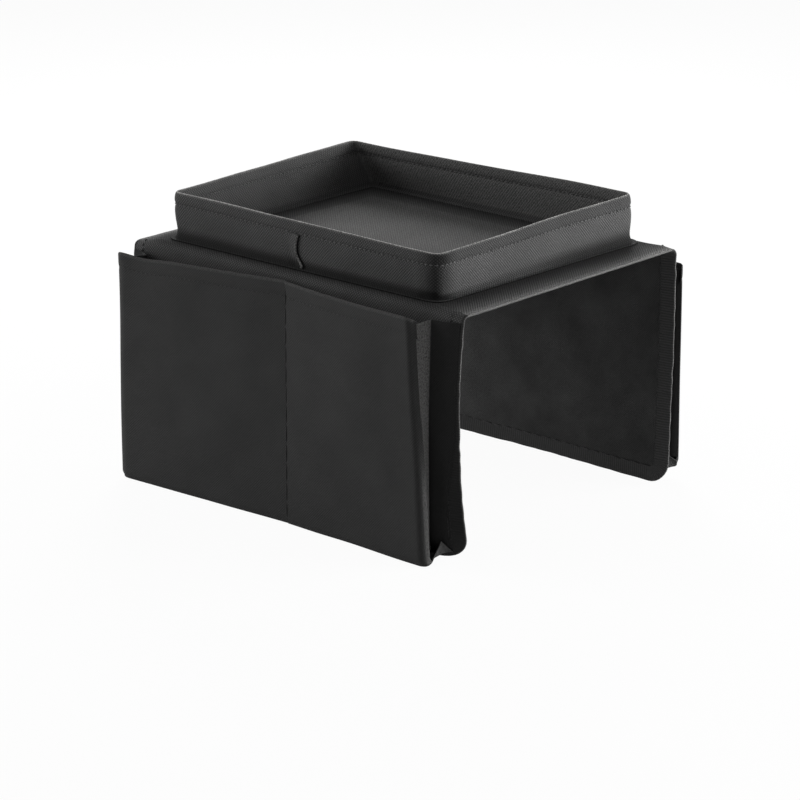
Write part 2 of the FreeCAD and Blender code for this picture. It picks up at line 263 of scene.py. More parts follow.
def millboard():
    """Grey millboard: pressed paper fibre, matt, with darker flecks."""
    material, tree = new_material("grey_millboard")
    place = add(tree, "TexCoord").outputs["Object"]
    fleck = add(tree, "TexNoise", {"Vector": place, "Scale": 1 / FLECK, "Detail": 4.0})
    colour = add(tree, "Mix", data_type="RGBA",
                 inputs={"Factor": fleck, "A": linear("#6d675e"), "B": linear("#9a9388")})
    rough = add(tree, "MapRange", {"Value": fleck, "To Min": 0.95, "To Max": 0.8})
    bump = add(tree, "Bump", {"Height": fleck, "Strength": 0.3, "Distance": 0.2 * MM})
    pressed_paper = add(tree, "BsdfPrincipled", {"Base Color": colour, "Roughness": rough, "Normal": bump})
    add(tree, "OutputMaterial", {"Surface": pressed_paper})
    return material


# The binding tape of the flaps' edges.
tape = grosgrain()
# The rim's topstitching thread is drawn lighter grey as a painted glint, and the other seams' thread is
# black.
glinting_rim_thread = sewing_thread("rim_thread_painted_glint", "#262626", "#4c4c4c", specular=0.3)
thread = sewing_thread("black_thread", "#121212", "#2a2a2a", specular=0.15)
# The stiff board sewn inside the walls, the deck and the flaps.
board = millboard()


# Sewing: how a cloth piece, a board and a row of stitches are made

def apply_modifiers(piece):
    bpy.context.view_layer.objects.active = piece
    for modifier in list(piece.modifiers):
        bpy.ops.object.modifier_apply(modifier=modifier.name)


def sew(name, across, along, place, material, thickness, flip=False, smooth=0, wear_and_painted_shading=None):
    """Cuts a flat sheet with grid lines at these places, lays each point where place says, and thickens it.
    The UV map keeps the flat cut in metres, and wear_and_painted_shading(across, along) says where the cloth
    is scuffed and where light and shade are painted on it."""
    bpy.ops.object.select_all(action="DESELECT")
    columns = len(across) - 1
    rows = len(along) - 1
    bpy.ops.mesh.primitive_grid_add(x_subdivisions=columns, y_subdivisions=rows, size=1, calc_uvs=True)
    piece = bpy.context.object
    piece.name = name
    piece.data.name = name
    mesh = piece.data
    flat = [(across[round((v.co.x + 0.5) * columns)], along[round((v.co.y + 0.5) * rows)])
            for v in mesh.vertices]
    uv_map = mesh.uv_layers[0]
    uv_map.name = "UVMap"
    for loop in mesh.loops:
        uv_map.data[loop.index].uv = flat[loop.vertex_index]
    painted_light_and_wear = mesh.attributes.new("wear_and_painted_shading", "FLOAT", "POINT")
    for vertex, (u, v) in zip(mesh.vertices, flat):
        vertex.co = place(u, v)
        painted_light_and_wear.data[vertex.index].value = wear_and_painted_shading(u, v) if wear_and_painted_shading else 0.0
    bpy.ops.object.mode_set(mode="EDIT")
    bpy.ops.mesh.select_all(action="SELECT")
    bpy.ops.mesh.remove_doubles(threshold=0.01 * MM)
    if flip:
        bpy.ops.mesh.flip_normals()
    bpy.ops.object.mode_set(mode="OBJECT")
    if smooth:
        subdivide = piece.modifiers.new("smooth", "SUBSURF")
        subdivide.levels = smooth
        subdivide.render_levels = smooth
    solid = piece.modifiers.new("thickness", "SOLIDIFY")
    solid.thickness = thickness
    solid.offset = -1
    apply_modifiers(piece)
    bpy.ops.object.shade_smooth_by_angle(angle=math.radians(50))
    mesh.materials.append(material)
    return piece


# Stitches: length, usual, long and longest, the gap between two, and the thread's radius, usual, fine, heavy
# and heaviest.
STITCH = 2.7 * MM
LONG_STITCH = 8 * MM
LONGEST_STITCH = 12 * MM
STITCH_GAP = 1.1 * MM
THREAD_RADIUS = 0.33 * MM
FINE_THREAD = 0.3 * MM
HEAVY_THREAD = 0.42 * MM
HEAVIEST_THREAD = 0.45 * MM


def stitch_row(name, points, length=STITCH, radius=THREAD_RADIUS, material=thread):
    """A row of lockstitches along points: one stitch, repeated and bent along the seam."""
    total = sum((b - a).length for a, b in zip(points, points[1:]))
    line = bpy.data.curves.new(name + "_line", "CURVE")
    line.dimensions = "3D"
    spline = line.splines.new("POLY")
    spline.points.add(len(points) - 1)
    for point, place in zip(spline.points, points):
        point.co = (*place, 1.0)
    path = bpy.data.objects.new(name + "_line", line)
    bpy.context.scene.collection.objects.link(path)
    bpy.ops.object.select_all(action="DESELECT")
    bpy.ops.mesh.primitive_uv_sphere_add(segments=6, ring_count=4, radius=1)
    row = bpy.context.object
    row.name = name
    row.data.name = name
    bpy.ops.object.mode_set(mode="EDIT")
    bpy.ops.mesh.select_all(action="SELECT")
    bpy.ops.transform.resize(value=(radius, radius, length / 2))
    bpy.ops.transform.rotate(value=math.pi / 2, orient_axis="Y", center_override=(0, 0, 0))
    bpy.ops.transform.translate(value=(length / 2 + STITCH_GAP / 2, 0, 0))
    bpy.ops.object.mode_set(mode="OBJECT")
    repeat = row.modifiers.new("repeat", "ARRAY")
    repeat.count = max(1, int(total / (length + STITCH_GAP)))
    repeat.use_relative_offset = False
    repeat.use_constant_offset = True
    repeat.constant_offset_displace = (length + STITCH_GAP, 0, 0)
    follow = row.modifiers.new("follow", "CURVE")
    follow.object = path
    follow.deform_axis = "POS_X"
    apply_modifiers(row)
    bpy.ops.object.shade_smooth()
    bpy.data.objects.remove(path)
    row.data.materials.append(material)
    return row


# How far the deck's ends bend down, and how much lower the front is at the left than at the middle.
BACK_DROOP = 4.2 * MM
FRONT_DROOP = 0.2 * MM
FRONT_TILT = 1.1 * MM
# How far outside the walls this starts, and how far down the flaps it still shows.
DROOP_GAP = 3 * MM
DROOP_FADE = 45 * MM
# The share of their thickness that the layers keep under the tape.
SQUEEZED = 0.4


def droop(x, y):
    """The deck's ends bend down where no wall stiffens them: at the back, and a little at the left front."""
    start = BAND_Y + DROOP_GAP
    back = ease(y, start, DECK_END)
    front = ease(-y, start, DECK_END)
    return -BACK_DROOP * back + front * (FRONT_TILT * x / BAND_X - FRONT_DROOP)


def pressed(sink, inward):
    """How deep a layer lies near a bound edge, where the tape presses the layers together."""
    middle = LAYERS / 2
    return middle + (sink - middle) * between(SQUEEZED, 1.0, ease(inward, 0, PRESS))


# The tray's walls: one band folded over the wall boards, all round

CORNER = 7 * MM
CORNER_TURN = CORNER * math.pi / 2
LAP_Y = 3 * MM
LOOP = 4 * (BAND_X + BAND_Y) - 8 * CORNER + 2 * math.pi * CORNER
# The wall's outer line, clockwise from above and from the lap on the left wall. Each side has its start,
# the way along it, its length and the way out.
loop_sides = [((-BAND_X, LAP_Y), (0, 1), BAND_Y - CORNER - LAP_Y, (-1, 0)),
              ((-BAND_X + CORNER, BAND_Y), (1, 0), 2 * (BAND_X - CORNER), (0, 1)),
              ((BAND_X, BAND_Y - CORNER), (0, -1), 2 * (BAND_Y - CORNER), (1, 0)),
              ((BAND_X - CORNER, -BAND_Y), (-1, 0), 2 * (BAND_X - CORNER), (0, -1)),
              ((-BAND_X, -BAND_Y + CORNER), (0, 1), BAND_Y - CORNER + LAP_Y, (-1, 0))]


def loop_point(s):
    """The wall's outer line at a distance s from the lap: x, y and the way out."""
    for start, way, length, out in loop_sides:
        if s <= length + 1e-9:
            return start[0] + way[0] * s, start[1] + way[1] * s, out[0], out[1]
        s -= length
        if s < CORNER_TURN:
            angle = s / CORNER
            out_x = out[0] * math.cos(angle) + way[0] * math.sin(angle)
            out_y = out[1] * math.cos(angle) + way[1] * math.sin(angle)
            x = start[0] + way[0] * length + (out_x - out[0]) * CORNER
            y = start[1] + way[1] * length + (out_y - out[1]) * CORNER
            return x, y, out_x, out_y
        s -= CORNER_TURN
    return loop_point(0)


def loop_stations(step):
    """Places round the band: a step apart on the straights, closer at the corners."""
    marks = []
    s = 0
    for _, _, length, _ in loop_sides:
        marks += [(s, step), (s + length, CORNER_TURN / 5)]
        s += length + CORNER_TURN
    return stations(*marks[:-1], (LOOP, 0))


# How far the walls' corners stand out of square at the rim, in mm, by (at the right, at the back).
corner_lean = {(0, 0): (0.0, 0.0, -0.8), (0, 1): (0.0, 1.8, 0.8),
               (1, 1): (-8.5, 10.5, 1.0), (1, 0): (1.5, 2.0, 2.2)}
# How far the rim wavers sideways and up, how far the walls bulge, and the lengths of these waves.
WAVER = 0.9 * MM
WAVER_LENGTH = 70 * MM
WAVER_UP = 0.7 * MM
WAVER_UP_LENGTH = 55 * MM
WALL_BULGE = 0.5 * MM
WALL_BULGE_LENGTH = 45 * MM


def sway(x, y, z):
    """The walls' give: the corners lean out of square, and the rim wavers."""
    up = max(0.0, (z - DECK_TOP) / (RIM - DECK_TOP))
    right = ease(x, -BAND_X, BAND_X)
    back = ease(y, -BAND_Y, BAND_Y)
    lean = Vector()
    for (at_right, at_back), offset in corner_lean.items():
        share = (right if at_right else 1 - right) * (back if at_back else 1 - back)
        lean += share * MM * Vector(offset)
    waver = WAVER * ripple(x, y, 0, WAVER_LENGTH, 1)
    lean += Vector((waver, waver, WAVER_UP * ripple(x, y, 0, WAVER_UP_LENGTH, 2)))
    return Vector((x, y, z + droop(x, y))) + up * lean


# The band's section, from its sewn foot outside, over the rim, to its foot inside: out of the wall and up,
# in mm.
band_section = [(5.0, 0.3), (4.9, 0.75), (4.0, 0.85), (3.0, 0.7), (2.0, 0.8), (1.2, 1.4), (0.4, 2.7),
                (-0.2, 4.5), (-0.35, 6.8), (-0.05, 9.5), (0.4, 12.5), (0.7, 16.0), (0.75, 19.5), (0.5, 22.0),
                (0.0, 23.2), (-0.3, 23.9), (0.0, 24.6), (0.45, 25.5), (0.55, 27.0), (0.3, 29.0),
                (-0.15, 30.6), (-0.75, 31.7), (-1.45, 32.2), (-2.15, 31.7), (-2.6, 30.6), (-3.0, 29.0),
                (-3.3, 27.0), (-3.2, 25.5), (-2.75, 24.6), (-2.5, 23.9), (-2.75, 23.2), (-3.2, 22.0),
                (-3.6, 18.0), (-3.6, 13.0), (-3.3, 8.0), (-3.1, 4.5), (-3.4, 2.0), (-4.2, 0.8), (-5.4, 0.4)]
section_length = [0.0]
for (out_a, up_a), (out_b, up_b) in zip(band_section, band_section[1:]):
    section_length.append(section_length[-1] + math.hypot(out_b - out_a, up_b - up_a) * MM)
# Marks on the section, in mm: the rim's fold and its crest, the hem's stitching, the sewn margin on the deck
# and its raw edge, and the middle of the wall.
RIM_FOLD = 31.5
RIM_CREST = 32
HEM_LINE = 23.9
MARGIN = 2.5
RAW_EDGE = 4.5
WALL_MIDDLE = -1.5


def section_at(u):
    """The band's section at a distance u along it."""
    return band_section[min(range(len(section_length)), key=lambda i: abs(section_length[i] - u))]


def wall_point(out, up, s):
    """A point out of the wall's outer line and up from the deck, at a distance s from the lap."""
    x, y, way_x, way_y = loop_point(s)
    bulge = WALL_BULGE * ripple(x, y, up, WALL_BULGE_LENGTH, 3)
    bulge *= math.sin(math.pi * min(1.0, up / (RIM - DECK_TOP)))
    return sway(x + way_x * (out + bulge), y + way_y * (out + bulge), DECK_TOP + up)


def band_point(u, s):
    out, up = section_at(u)
    return wall_point(out * MM, up * MM, s)


def band_shading_and_wear(u, s):
    """The rim's fold is scuffed and also carries a painted highlight, strongest on the left wall. The sewn
    margin at the wall's foot, the outer wall's foot, the front hem and the near corner get painted shade, and
    inside, the right wall gets painted light and the foot painted shade.
    """
    out, up = section_at(u)
    x, y, way_x, way_y = loop_point(s)
    left, right, front = (ease(way, 0.5, 1) for way in (-way_x, way_x, -way_y))
    # Rim's fold: scuffing plus a painted highlight, raised on the left wall.
    if up > RIM_FOLD:
        rub_and_painted_shading = between(0.9, 1.7, left) if up > RIM_CREST else 0.2
        return rub_and_painted_shading * (1 + 0.5 * ripple(s, 0, 0, 20 * MM, 12))
    # Painted shade on the sewn margin at the wall's foot, darkest past its raw edge.
    if out > MARGIN:
        return -1.0 if out > RAW_EDGE else between(-0.7, -0.45, front)
    # Inside: painted light on the right wall and painted shade at the foot.
    if out <= WALL_MIDDLE:
        return 0.14 * right - 0.4 * ease(up, 5, 1.5)
    # Painted shade up the outer wall's foot to a wavy height, on the front hem above its stitching, and round
    # the near corner.
    shade = 9 + 3 * ripple(s, 0, 0, 60 * MM, 6) - 4 * way_y * x / BAND_X
    at_front = between(-0.45, PAINTED_SHADE, ease(x, -0.3 * BAND_X, 0.5 * BAND_X))
    deep = between(PAINTED_SHADE, at_front, front) * ease(up, shade, 2.5)
    deep -= 0.25 * front * ease(up, HEM_LINE - 0.4, HEM_LINE + 1.1)
    deep -= 0.58 * ease(math.hypot(x + BAND_X, y + BAND_Y), 20 * MM, 4 * MM)
    return max(-0.95, deep)


tray_pieces = []
band = sew("band_cloth", section_length, loop_stations(STEP), band_point, body_cloth, BAND_CLOTH, smooth=1,
           wear_and_painted_shading=band_shading_and_wear)
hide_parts("tray_band")
tray_pieces.append(band)

for name, out in (("stitch_rim_outside", 0.1), ("stitch_rim_inside", -2.9)):
    line = [wall_point(out * MM, HEM_LINE * MM, s) for s in spread(0, LOOP, SEAM_STEP)]
    tray_pieces.append(stitch_row(name, line, radius=HEAVY_THREAD, material=glinting_rim_thread))

# The lap where the band's ends meet on the left wall: the back end lies over the front one. A thin lip before
# its turned edge carries that edge's painted shadow.
LAP_WIDTH = 14 * MM
LAP_TOP = 23 * MM
LAP_LIP = 1.2 * MM
# How far the turned edge stands out of the band, how deep the lap's other end lies in it, and the step down
# to the lip.
LAP_PROUD = 0.75 * MM
LAP_SUNK = 0.5 * MM
LIP_STEP = 0.62 * MM
# The free edge's line, as (up, along Y) in mm, and the band's outside above the margin, as (up, out).
lap_edge = [(1.0, -2.2), (2.5, -1.6), (4.5, 0.4), (7.0, 2.3), (11.0, 3.7), (15.0, 3.5), (18.5, 2.8),
            (23.0, 1.6)]
band_outside = [(up, out) for out, up in band_section[3:16]]


def read_off(line, up):
    """The second value of a line of (up, value) marks, at a height over the deck."""
    rise = up / MM
    for (up_a, value_a), (up_b, value_b) in zip(line, line[1:]):
        if rise <= up_b:
            return between(value_a, value_b, max(0.0, rise - up_a) / (up_b - up_a)) * MM
    return line[-1][1] * MM


def lap_point(u, v):
    """The lap's outside: u is measured along the wall from a thin lip before the turned edge, v up it."""
    u -= LAP_LIP
    out = between(LAP_PROUD, -LAP_SUNK, ease(u, 0.5 * MM, 7 * MM))
    out -= LIP_STEP * ease(u, 0.3 * MM, -0.3 * MM)
    place = read_off(lap_edge, v) + u - LAP_Y
    return wall_point(read_off(band_outside, v) + out, v, place if place >= 0 else LOOP + place)


def lap_shading_and_wear(u, v):
    """The lip carries the turned edge's painted shadow, the edge is scuffed, and lower down the lap gets
    painted shade towards the wall's foot.
    """
    u -= LAP_LIP
    if u < 0:
        return -1.0
    return 0.2 if u < 1.0 * MM else -0.85 * ease(v, 10 * MM, 2.5 * MM)


lap_u = stations((0, 0.4 * MM), (LAP_LIP + 1.2 * MM, 0.9 * MM), (LAP_WIDTH, 0))
lap_v = spread(1.1 * MM, LAP_TOP, 1.2 * MM)
lap = sew("band_lap", lap_u, lap_v, lap_point, body_cloth, LAP_CLOTH, wear_and_painted_shading=lap_shading_and_wear)
tray_pieces.append(lap)

# The boards inside the walls, which stop short of the rim's fold.
WALL_BOARD_IN = 0.8 * MM
WALL_BOARD_CUT = 2.3 * MM
for wall, way_x, way_y in (("left", -1, 0), ("right", 1, 0), ("front", 0, -1), ("back", 0, 1)):
    low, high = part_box("wall_board_" + wall)

    def board_point(along, z, way_x=way_x, way_y=way_y):
        if way_x:
            return sway(way_x * (BAND_X - WALL_BOARD_IN), along, z)
        return sway(along, way_y * (BAND_Y - WALL_BOARD_IN), z)

    along_wall = spread(low.y, high.y, BOARD_STEP) if way_x else spread(low.x, high.x, BOARD_STEP)
    up_wall = spread(low.z, high.z - WALL_BOARD_CUT, BOARD_STEP)
    piece = sew("stiffener_" + wall, along_wall, up_wall, board_point, board, WALL_BOARD,
                flip=wall in ("back", "left"))
    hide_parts("wall_board_" + wall)
    tray_pieces.append(piece)


# The deck: cloth over the board, lining under it. The cloth has slight waves, of this height and length.
DECK_WAVE = 0.6 * MM
DECK_WAVE_LENGTH = 80 * MM


def deck_point(x, y):
    """The deck's cloth, which lies a little unevenly inside the walls."""
    inside = ease(abs(x), BAND_X, 0.8 * BAND_X) * ease(abs(y), BAND_Y, 0.85 * BAND_Y)
    sink = pressed(0, DECK_END - abs(y))
    wave = DECK_WAVE * inside * ripple(x, y, 0, DECK_WAVE_LENGTH, 4)
    return Vector((x, y, DECK_TOP - sink + droop(x, y) + wave))


def deck_layer(sink):
    """How a layer under the deck's cloth lies, at this depth."""
    def place(x, y):
        return Vector((x, y, DECK_TOP - pressed(sink, DECK_END - abs(y)) + droop(x, y)))
    return place


def deck_painted_shading(x, y):
    """Painted shade beside the walls, outside and inside; inside, the floor away from them is a little
    lighter.
    """
    gap = max(abs(x) - BAND_X, abs(y) - BAND_Y)
    if gap > 0:
        return PAINTED_SHADE * ease(gap, 26 * MM, 7 * MM)
    return between(0.1, PAINTED_SHADE, ease(-gap, 25 * MM, 3 * MM))


# The board ends where the tape presses the cloths together, so the grid is finer there.
BOARD_SINK = 0.9 * MM
FINE_END = CLOTH_END - 14 * MM
deck_x = spread(-PIVOT_X, PIVOT_X, STEP)
deck_y = stations((-CLOTH_END, 2 * MM), (-FINE_END, STEP), (FINE_END, 2 * MM), (CLOTH_END, 0))
deck_cover = sew("deck_cover", deck_x, deck_y, deck_point, body_cloth, CLOTH, wear_and_painted_shading=deck_painted_shading)
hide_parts("deck_cloth")
deck_lining = sew("deck_underlining", deck_x, deck_y, deck_layer(LAYERS), lining_cloth, CLOTH, flip=True)
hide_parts("deck_lining")
board_x = spread(-PIVOT_X, PIVOT_X, BOARD_STEP)
board_y = spread(PRESS - DECK_END, DECK_END - PRESS, STEP)
deck_board = sew("stiffener_deck", board_x, board_y, deck_layer(BOARD_SINK), board, BOARD)
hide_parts("deck_board")
tray_pieces += [deck_cover, deck_lining, deck_board]


# The sides: cloth, board and lining that bend over the deck's edge and hang down. The cloth ends a little
# above the flap's foot, so that the tape's fold fits under it.
FOOT_ROOM = 2.4 * MM
SIDE_LENGTH = BEND_LENGTH + FLAP_DROP - FOOT_ROOM
SIDES = {"left": -1, "right": 1}
# How unevenly the flaps hang, and the length of these waves. The right flap's foot swings in, more so at the
# front. The left flap bulges at the front, and its front edge curls out and then in.
FLAP_WAVE = 0.8 * MM
FLAP_WAVE_LENGTH = 65 * MM
SWING_IN = 2.0 * MM
FRONT_SWING_IN = 3.0 * MM
FRONT_BULGE = 4.3 * MM
CURL_OUT = 3.5 * MM
CURL_IN = 10.0 * MM


def hang(side, y, down):
    """How far a flap stands out of its flat place; down is 0 at the bend and 1 at the foot."""
    out = FLAP_WAVE * ease(down, 0, 0.25) * ripple(side * 0.3, y, 0.16 * down, FLAP_WAVE_LENGTH, 5 + side)
    if side > 0:
        swing_in = SWING_IN + FRONT_SWING_IN * ease(-y, 50 * MM, DECK_END)
        return out - swing_in * down ** 2
    bulge = FRONT_BULGE * ease(y, 20 * MM, -DECK_END)
    curl = CURL_OUT * ease(y, -60 * MM, -115 * MM) - CURL_IN * ease(y, -120 * MM, -DECK_END)
    return out + bulge * 4 * down * (1 - down) + curl * down ** 3


def side_point(side, y, p, sink):
    """A point of a side's layers: p runs from the bend's top over it and down the flap, sink goes inwards."""
    inward = min(DECK_END - abs(y), SIDE_LENGTH - p)
    corner_y = abs(y) - (DECK_END - FLAP_CORNER)
    corner_p = p - (SIDE_LENGTH - FLAP_CORNER)
    if corner_y > 0 and corner_p > 0:
        inward = FLAP_CORNER - math.hypot(corner_y, corner_p)
    radius = BEND - pressed(sink, inward)
    if p <= BEND_LENGTH:
        turn = max(0.0, p) / BEND
        x = side * (PIVOT_X + min(0.0, p) + radius * math.sin(turn))
        return Vector((x, y, PIVOT_Z + radius * math.cos(turn) + droop(x, y)))
    drop = p - BEND_LENGTH
    x = side * (PIVOT_X + radius)
    out = hang(side, y, drop / FLAP_DROP)
    return Vector((x + side * out, y, PIVOT_Z - drop + droop(x, y) * ease(drop, DROOP_FADE, 0)))


# How far in from its ends a side's cut is drawn together for the round corners.
TRIM = 40 * MM


def trimmed(y, p, margin):
    """Moves a point of the side's square cut in, so that the flap's lower corners are round."""
    below = p - (SIDE_LENGTH - FLAP_CORNER)
    end = DECK_END - margin
    start = end - TRIM
    if below <= 0 or abs(y) <= start:
        return y
    limit = end - FLAP_CORNER + math.sqrt(max(0.0, FLAP_CORNER ** 2 - below ** 2))
    return math.copysign(between(start, limit, (abs(y) - start) / (end - start)), y)


def side_layer(side, sink, margin):
    """How a side's layer hangs, at this depth and cut back by a margin."""
    def place(y, p):
        return side_point(side, trimmed(y, p, margin), p, sink)
    return place


def side_painted_shade(y, p):
    """Painted shade: beside the walls the bend is as dark as the deck."""
    return -0.65 * ease(p, BEND_LENGTH, 0) * ease(abs(y), DECK_END - 8 * MM, BAND_Y)


def lining_painted_light(y, p):
    """Painted light: the lining is a little paler towards the back."""
    return 0.32 * ease(y, -30 * MM, 90 * MM)


def bend_with_flap(piece):
    """Bakes the piece's place into its mesh; its shape already runs along the deck above the fold and the
    flap below it.
    """
    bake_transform(piece)


# How far inside the tape's fold the cloth ends.
EDGE = 0.5 * MM
side_y = stations((-CLOTH_END, 4 * MM), (TRIM - CLOTH_END, STEP), (CLOTH_END - TRIM, 4 * MM), (CLOTH_END, 0))
side_p = stations((0, BEND_LENGTH / 8), (BEND_LENGTH, 3 * MM), (BEND_LENGTH + 12 * MM, STEP),
                  (SIDE_LENGTH - FLAP_CORNER, 1.5 * MM), (SIDE_LENGTH - EDGE, 0))
board_p = spread(BEND_LENGTH + 1 * MM, SIDE_LENGTH - PRESS, 5 * MM)
for name, side in SIDES.items():
    cover = sew("side_cover_" + name, side_y, side_p, side_layer(side, 0, EDGE), body_cloth, CLOTH,
                flip=side > 0, wear_and_painted_shading=side_painted_shade)
    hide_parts("hinge_cloth_" + name, "flap_cloth_" + name)
    bend_with_flap(cover)
    lining = sew("side_lining_" + name, side_y, side_p, side_layer(side, LAYERS, EDGE), lining_cloth, CLOTH,
                 flip=side < 0, wear_and_painted_shading=lining_painted_light)
    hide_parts("hinge_lining_" + name, "flap_lining_" + name)
    bend_with_flap(lining)
    stiffener = sew("stiffener_flap_" + name, board_y, board_p, side_layer(side, BOARD_SINK, PRESS), board,
                    BOARD, flip=side > 0)
    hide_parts("flap_board_" + name)
    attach(stiffener, "flap_" + name)


# Edge tape folded round the deck's ends and round each side's three edges

TAPE_TURN = LAYERS / 2 + TAPE
FOLD_END = TAPE_WIDTH + TAPE_TURN * math.pi
TAPE_STEP = 2.5 * MM
tape_across = stations((0, TAPE_STEP), (TAPE_WIDTH, TAPE_TURN * math.pi / 8), (FOLD_END, TAPE_STEP),
                       (FOLD_END + TAPE_WIDTH, 0))
# The path along a side's three edges: down, round a corner, along the foot, and the same again upwards.
TAPE_SIDE = SIDE_LENGTH - FLAP_CORNER
TAPE_ARC = FLAP_CORNER * math.pi / 2
TAPE_FOOT = 2 * (DECK_END - FLAP_CORNER)
TAPE_PATH = 2 * TAPE_SIDE + 2 * TAPE_ARC + TAPE_FOOT
# The outer leg's depth under the cover, the seam's distance from the tape's inner edge, and how proud a
# thread lies.
TUCK = 0.15 * MM
SEAM_IN = 1.6 * MM
PROUD = 0.05 * MM
# How far the tape's edge strays and the length of these waves, usually and where it is ragged, and the
# stretch over which they fade.
FRILL = 0.35 * MM
FRILL_LENGTH = 9 * MM
RAGGED = 0.6 * MM
RAGGED_LENGTH = 5.5 * MM
FRILL_FADE = 10 * MM


def tape_fold(u):
    """Where a tape's point lies across its fold: how far in from the edge, and how deep from the outside."""
    turn = (u - TAPE_WIDTH) / TAPE_TURN
    if turn <= 0:
        return TAPE_WIDTH - u - EDGE, -TAPE
    if turn >= math.pi:
        return u - FOLD_END - EDGE, LAYERS + TAPE
    return -0.4 * TAPE_TURN * math.sin(turn) - EDGE, LAYERS / 2 - TAPE_TURN * math.cos(turn)


def tape_shading_and_wear(u, v):
    """Only the fold's crest is scuffed, unevenly, and the outer leg gets painted shade."""
    turn = (u - TAPE_WIDTH) / TAPE_TURN
    if turn < 0.5:
        return PAINTED_SHADE
    if abs(turn - math.pi / 2) > 0.2:
        return 0.0
    return max(0.0, 0.8 + 0.8 * ripple(v, 0, 0, 7 * MM, 13)) * below_bend(v)


def below_bend(s):
    """0 where a side's tape bends with the cloth, and 1 lower down."""
    return ease(min(s, TAPE_PATH - s), BEND_LENGTH, BEND_LENGTH + 8 * MM)


def frill(s, reach=FRILL, period=FRILL_LENGTH):
    """The tape's edge isn't quite straight."""
    return reach * ripple(s, 0, 0, period, 8)


def deck_tape_wear(u, x):
    """The fold is a little scuffed."""
    return 0.35 * ease(abs(u - TAPE_WIDTH), 6 * MM, 0)


for name, end in (("front", -1), ("back", 1)):
    # The deck's ends are bound with the body cloth itself, so that only the fold shows from above.
    def deck_tape_point(u, x, end=end):
        inward, sink = tape_fold(u)
        if sink < 0:
            sink = between(TUCK, -TAPE, ease(TAPE_WIDTH - inward, 0, 7 * MM))
        y = end * (DECK_END - inward + frill(x) * ease(abs(x), PIVOT_X, PIVOT_X - FRILL_FADE))
        return Vector((x, y, DECK_TOP - pressed(sink, inward) + droop(x, y)))

    binding = sew("edge_tape_" + name, tape_across, spread(-PIVOT_X, PIVOT_X, 4 * MM), deck_tape_point,
                  body_cloth, TAPE, flip=end > 0, wear_and_painted_shading=deck_tape_wear)
    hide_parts("deck_binding_" + name)
    tray_pieces.append(binding)
    seam_y = end * (DECK_END - TAPE_WIDTH + SEAM_IN)
    line = [Vector((x, seam_y, DECK_TOP - LAYERS - TAPE - PROUD + droop(x, seam_y)))
            for x in spread(-PIVOT_X, PIVOT_X, SEAM_STEP)]
    tray_pieces.append(stitch_row("stitch_tape_" + name, line))


def edge_line(s):
    """A flap's edge at a distance s along the tape, in the side's flat cut: y, p and the way in."""
    if s > TAPE_PATH / 2:
        y, p, way_y, way_p = edge_line(TAPE_PATH - s)
        return -y, p, -way_y, way_p
    if s <= TAPE_SIDE:
        return -DECK_END, s, 1.0, 0.0
    s -= TAPE_SIDE
    if s <= TAPE_ARC:
        way_y = math.cos(s / FLAP_CORNER)
        way_p = -math.sin(s / FLAP_CORNER)
        return -DECK_END + FLAP_CORNER * (1 - way_y), TAPE_SIDE - FLAP_CORNER * way_p, way_y, way_p
    return -DECK_END + FLAP_CORNER + s - TAPE_ARC, SIDE_LENGTH, 0.0, -1.0


tape_along = stations((0, BEND_LENGTH / 6), (BEND_LENGTH, 2 * MM), (TAPE_SIDE, TAPE_ARC / 8),
                      (TAPE_SIDE + TAPE_ARC, 5 * MM), (TAPE_SIDE + TAPE_ARC + TAPE_FOOT, TAPE_ARC / 8),
                      (TAPE_PATH - TAPE_SIDE, 2 * MM), (TAPE_PATH - BEND_LENGTH, BEND_LENGTH / 6),
                      (TAPE_PATH, 0))


def taped(side, inward, sink, s):
    """A point of a side's tape, whose edge is ragged where it runs upright."""
    y, p, way_y, way_p = edge_line(s)
    end = min(s, TAPE_PATH - s)
    upright = ease(end, TAPE_SIDE, TAPE_SIDE - FRILL_FADE)
    inward += between(frill(s), frill(s, RAGGED, RAGGED_LENGTH), upright) * ease(end, 0, FRILL_FADE)
    return side_point(side, y + way_y * inward, p + way_p * inward, sink)


for name, side in SIDES.items():
    def side_tape_point(u, s, side=side):
        inward, sink = tape_fold(u)
        if sink < 0:
            # The outer leg goes under the cover where the side bends.
            sink = between(TUCK * ease(inward, -EDGE, 1 * MM), sink, below_bend(s))
        return taped(side, inward, sink, s)

    binding = sew("edge_tape_" + name, tape_across, tape_along, side_tape_point, tape, TAPE, flip=side < 0,
                  wear_and_painted_shading=tape_shading_and_wear)
    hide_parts("flap_binding_" + name, "hinge_binding_" + name + "_front",
                "hinge_binding_" + name + "_back")
    bend_with_flap(binding)
    rows = (("outside", TAPE_WIDTH - SEAM_IN, -TAPE - PROUD, STITCH, THREAD_RADIUS),
            ("inside", TAPE_WIDTH - EDGE + 0.3 * MM, LAYERS + 0.8 * TAPE, LONG_STITCH, HEAVIEST_THREAD))
    for face, inward, sink, length, radius in rows:
        line = [taped(side, inward, sink, s) for s in spread(0, TAPE_PATH, SEAM_STEP)]
        row = stitch_row("stitch_tape_" + name + "_" + face, line, length=length, radius=radius)
        bend_with_flap(row)


